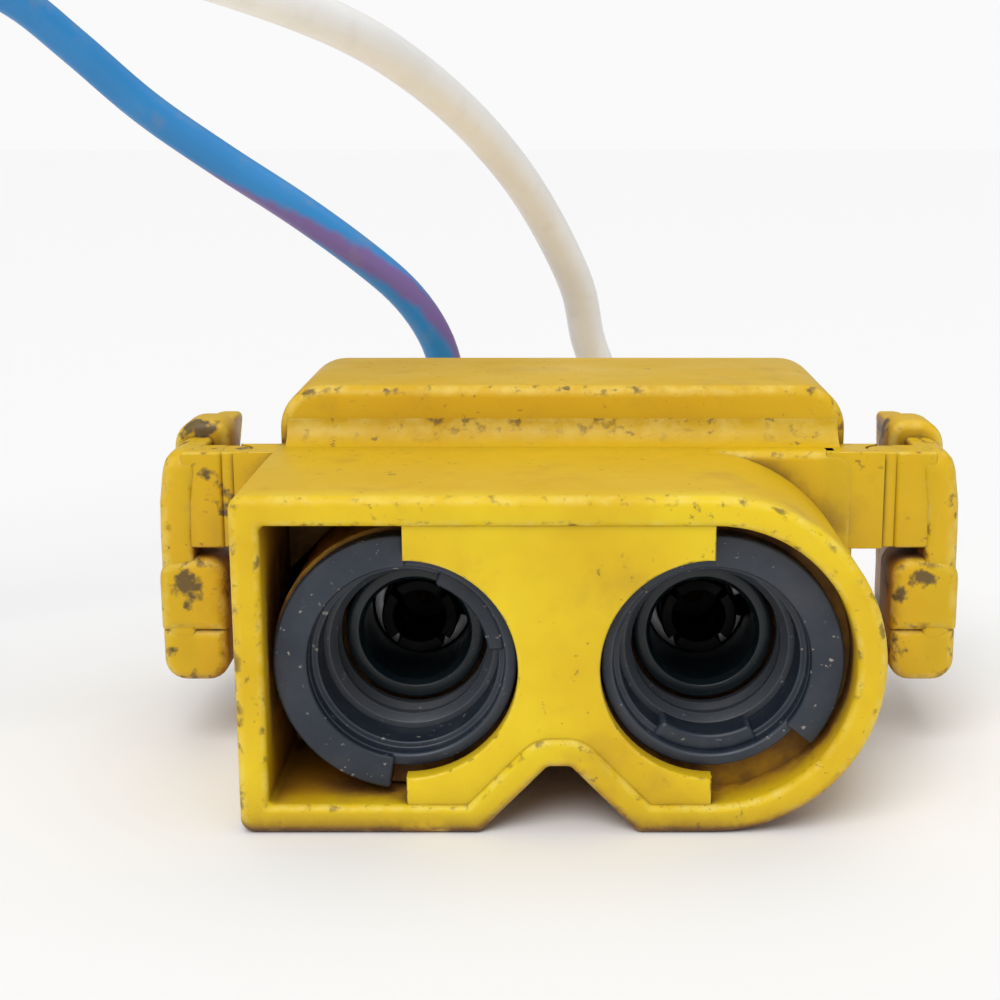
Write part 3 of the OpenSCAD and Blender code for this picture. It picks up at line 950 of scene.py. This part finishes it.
# %% [markdown]
# ## Twist sleeves, seals and contacts
#
# Everything in a socket is turned about its axis, apart from what goes only part of the
# way round: the sleeve's half flange and lug, the contact's four tines and its clip.
# The two sleeves are the same part at a different turn.

# %% Socket parts
FLANGE_START = {-1: 90.0, 1: -40.0}
FLANGE_SWEEP = 172.0


def sleeve_parts(side):
    """Tube with a stepped mouth, the half flange and the lug before its start."""
    start = FLANGE_START[side]
    flange_front = sleeve_low[1]
    mouth = flange_front + 0.45
    step = mouth + 0.9
    tube_corners = [(mouth, 5.2), (step, 5.2), (step, 4.85), (SLEEVE_BACK, 4.85),
                    (SLEEVE_BACK, 5.85), (mouth, 5.85)]
    flange = [(flange_front, 5.26), (flange_front + 1.4, 5.26),
              (flange_front + 1.4, 7.05), (flange_front, 7.05)]
    lug = [(flange_front + 1.0, 4.3), (flange_front + 3, 4.3),
           (flange_front + 3, 5.3), (flange_front + 1.0, 5.3)]
    return [
        turned(tube_corners, [0.22, 0.1, 0.1, 0.1, 0.1, 0.12], side),
        sector(flange, 0.16, side, start, start + FLANGE_SWEEP, 0.2, 90),
        sector(lug, 0.25, side, start - 85, start - 20, 0.3, 40),
    ]


def lip_parts(side):
    """A rubber ring with two soft lips that point inwards."""
    front, back = lip_low[1], lip_high[1]
    corners = [(front, 4.5), (front + 0.45, 4.12), (front + 1.0, 4.14), (front + 1.3, 4.45),
               (front + 1.9, 4.45), (front + 2.2, 4.12), (front + 2.8, 4.14), (back, 4.5),
               (back, 4.84), (front, 4.84)]
    return [turned(corners, [0.05, 0.15, 0.2, 0.1, 0.1, 0.15, 0.2, 0.05, 0.02, 0.02], side, 1.0, 120)]


def tube_parts(side):
    """The insulating tube round a contact, with a shallow chamfer in its mouth."""
    front, back = tube_low[1], tube_high[1]
    corners = [(front, 3.2), (front + 0.4, 2.95), (1.0, 2.95), (1.0, 1.23), (back, 1.23),
               (back, 3.9), (front, 3.9)]
    return [turned(corners, [0.1, 0.1, 0.05, 0.05, 0.05, 0.05, 0.25], side)]


def contact_parts(side):
    """A turned contact: four tines, a solid collar and a crimp barrel."""
    front, back = contact_low[1], contact_high[1]
    body = [(-1.4, 1.5), (0.2, 1.5), (0.2, 0.66), (back, 0.66), (back, 1.2), (1.0, 1.2),
            (1.0, 2.2), (-1.4, 2.2)]
    tine = [(front, 1.5), (-1.3, 1.5), (-1.3, 2.2), (front, 2.2)]
    tines = [sector(tine, 0.12, side, a - 39, a + 39, 0.06, 12) for a in (0, 90, 180, 270)]
    return [turned(body, [0.05] * 8, side)] + tines


def clip_parts(side):
    """An open ring of spring steel."""
    section = [(-2.5, 2.24), (-1.0, 2.24), (-1.0, 2.92), (-2.5, 2.92)]
    return [sector(section, 0.12, side, 14, 346, 0.05, 60)]


def seal_parts(side):
    """A ribbed rubber plug with a soft neck that comes out of the cover."""
    front, back = seal_low[1], seal_high[1]
    body_back = housing_high[1]
    corners = [(front, 1.29), (back, 1.29), (back, 1.9), (back - 0.5, 2.6), (body_back, 2.6),
               (body_back, 3.5), (8.8, 3.5), (8.75, 3.87), (8.3, 3.87), (8.2, 3.5), (8.05, 3.5),
               (7.95, 3.87), (7.5, 3.87), (front, 3.5)]
    radii = [0.05, 0.15, 0.2, 0.4] + [0.04] * 10
    return [turned(corners, radii, side)]


def core_parts(side, cad_core):
    """Seven straight strands held in a crimp."""
    low, high = span(cad_core)
    strand_r = (high[0] - low[0]) / 6
    y = np.linspace(low[1], high[1], 4)
    parts = []
    for k in range(7):
        out = 0.0 if k == 0 else 2 * strand_r * 0.98
        a = math.tau * k / 6
        x = side * SOCKET_X + out * math.cos(a)
        z = SOCKET_Z + out * math.sin(a)
        line = np.stack([np.full(4, x), y, np.full(4, z)], 1)
        parts.append(skin(tube(line, strand_r, 10), 0.0))
    return parts


# %% Fill both sockets
for side, word in ((-1, "left"), (1, "right")):
    sleeve_body = word + "_sleeve"
    made = [
        ("twist_sleeve", sleeve_parts(side), sleeve_body, "sleeve_dark", SLEEVE_DARK),
        ("lip_seal", lip_parts(side), sleeve_body, "seal_rubber", SEAL_RUBBER),
        ("contact_tube", tube_parts(side), "housing", "tube_teal", TUBE_TEAL),
        ("socket_contact", contact_parts(side), "housing", "contact_tin", CONTACT_TIN),
        ("contact_clip", clip_parts(side), "housing", "clip_steel", CLIP_STEEL),
        ("wire_seal", seal_parts(side), "housing", "wire_seal_rubber", WIRE_RUBBER),
        ("crimped_core", core_parts(side, word + "_crimped_core"), "housing",
         "copper_core", COPPER),
    ]
    for name, parts, body, slot, material in made:
        obj = piece(f"{word}_{name}_made", parts, body, (f"{word}_{name}",))
        obj.data.materials.append(material)

# %% [markdown]
# ## Light and floor
#
# One wide soft light from above and in front, a weaker one from overhead and a pale
# surround: that is how small parts are shown on a bench. The floor is plain and pale.
# The surround is brighter to the eye than it is as a light, so the backdrop stays white
# while the sockets stay dark.

# %% Floor and lights
def soft_sun(name, way, width_deg, power):
    """Even light from the direction way, as wide as a softbox seen from the part."""
    data = bpy.data.lights.new(name, "SUN")
    data.energy = power
    data.angle = math.radians(width_deg)
    obj = bpy.data.objects.new(name, data)
    obj.rotation_euler = Vector(way).to_track_quat("Z", "Y").to_euler()
    bpy.context.scene.collection.objects.link(obj)


soft_sun("key_light", (-0.25, -0.8, 1.0), 40, 1.7)
soft_sun("top_light", (0.2, 0.15, 1.0), 60, 0.7)

floor_mesh = bpy.data.meshes.new("floor")
HALF_FLOOR = 2.0
floor_mesh.from_pydata(
    [(-HALF_FLOOR, -HALF_FLOOR, 0), (HALF_FLOOR, -HALF_FLOOR, 0),
     (HALF_FLOOR, HALF_FLOOR, 0), (-HALF_FLOOR, HALF_FLOOR, 0)], [], [(0, 1, 2, 3)]
)
floor = bpy.data.objects.new("floor", floor_mesh)
bpy.context.scene.collection.objects.link(floor)
pale = bpy.data.materials.new("pale_floor")
pale.use_nodes = True
pale_shader = pale.node_tree.nodes["Principled BSDF"]
pale_shader.inputs["Base Color"].default_value = (0.93, 0.93, 0.93, 1)
pale_shader.inputs["Roughness"].default_value = 0.8
floor_mesh.materials.append(pale)

world = bpy.data.worlds.new("surround")
world.use_nodes = True
sky = world.node_tree.nodes["Background"]
sky.inputs["Color"].default_value = (1, 1, 1, 1)
seen = world.node_tree.nodes.new("ShaderNodeLightPath")
strength = world.node_tree.nodes.new("ShaderNodeMapRange")
AS_A_LIGHT, AS_SEEN = 0.42, 0.955
strength.inputs["To Min"].default_value = AS_A_LIGHT
strength.inputs["To Max"].default_value = AS_SEEN
world.node_tree.links.new(seen.outputs["Is Camera Ray"], strength.inputs["Value"])
world.node_tree.links.new(strength.outputs["Result"], sky.inputs["Strength"])
bpy.context.scene.world = world
bpy.context.scene.view_settings.view_transform = "Standard"
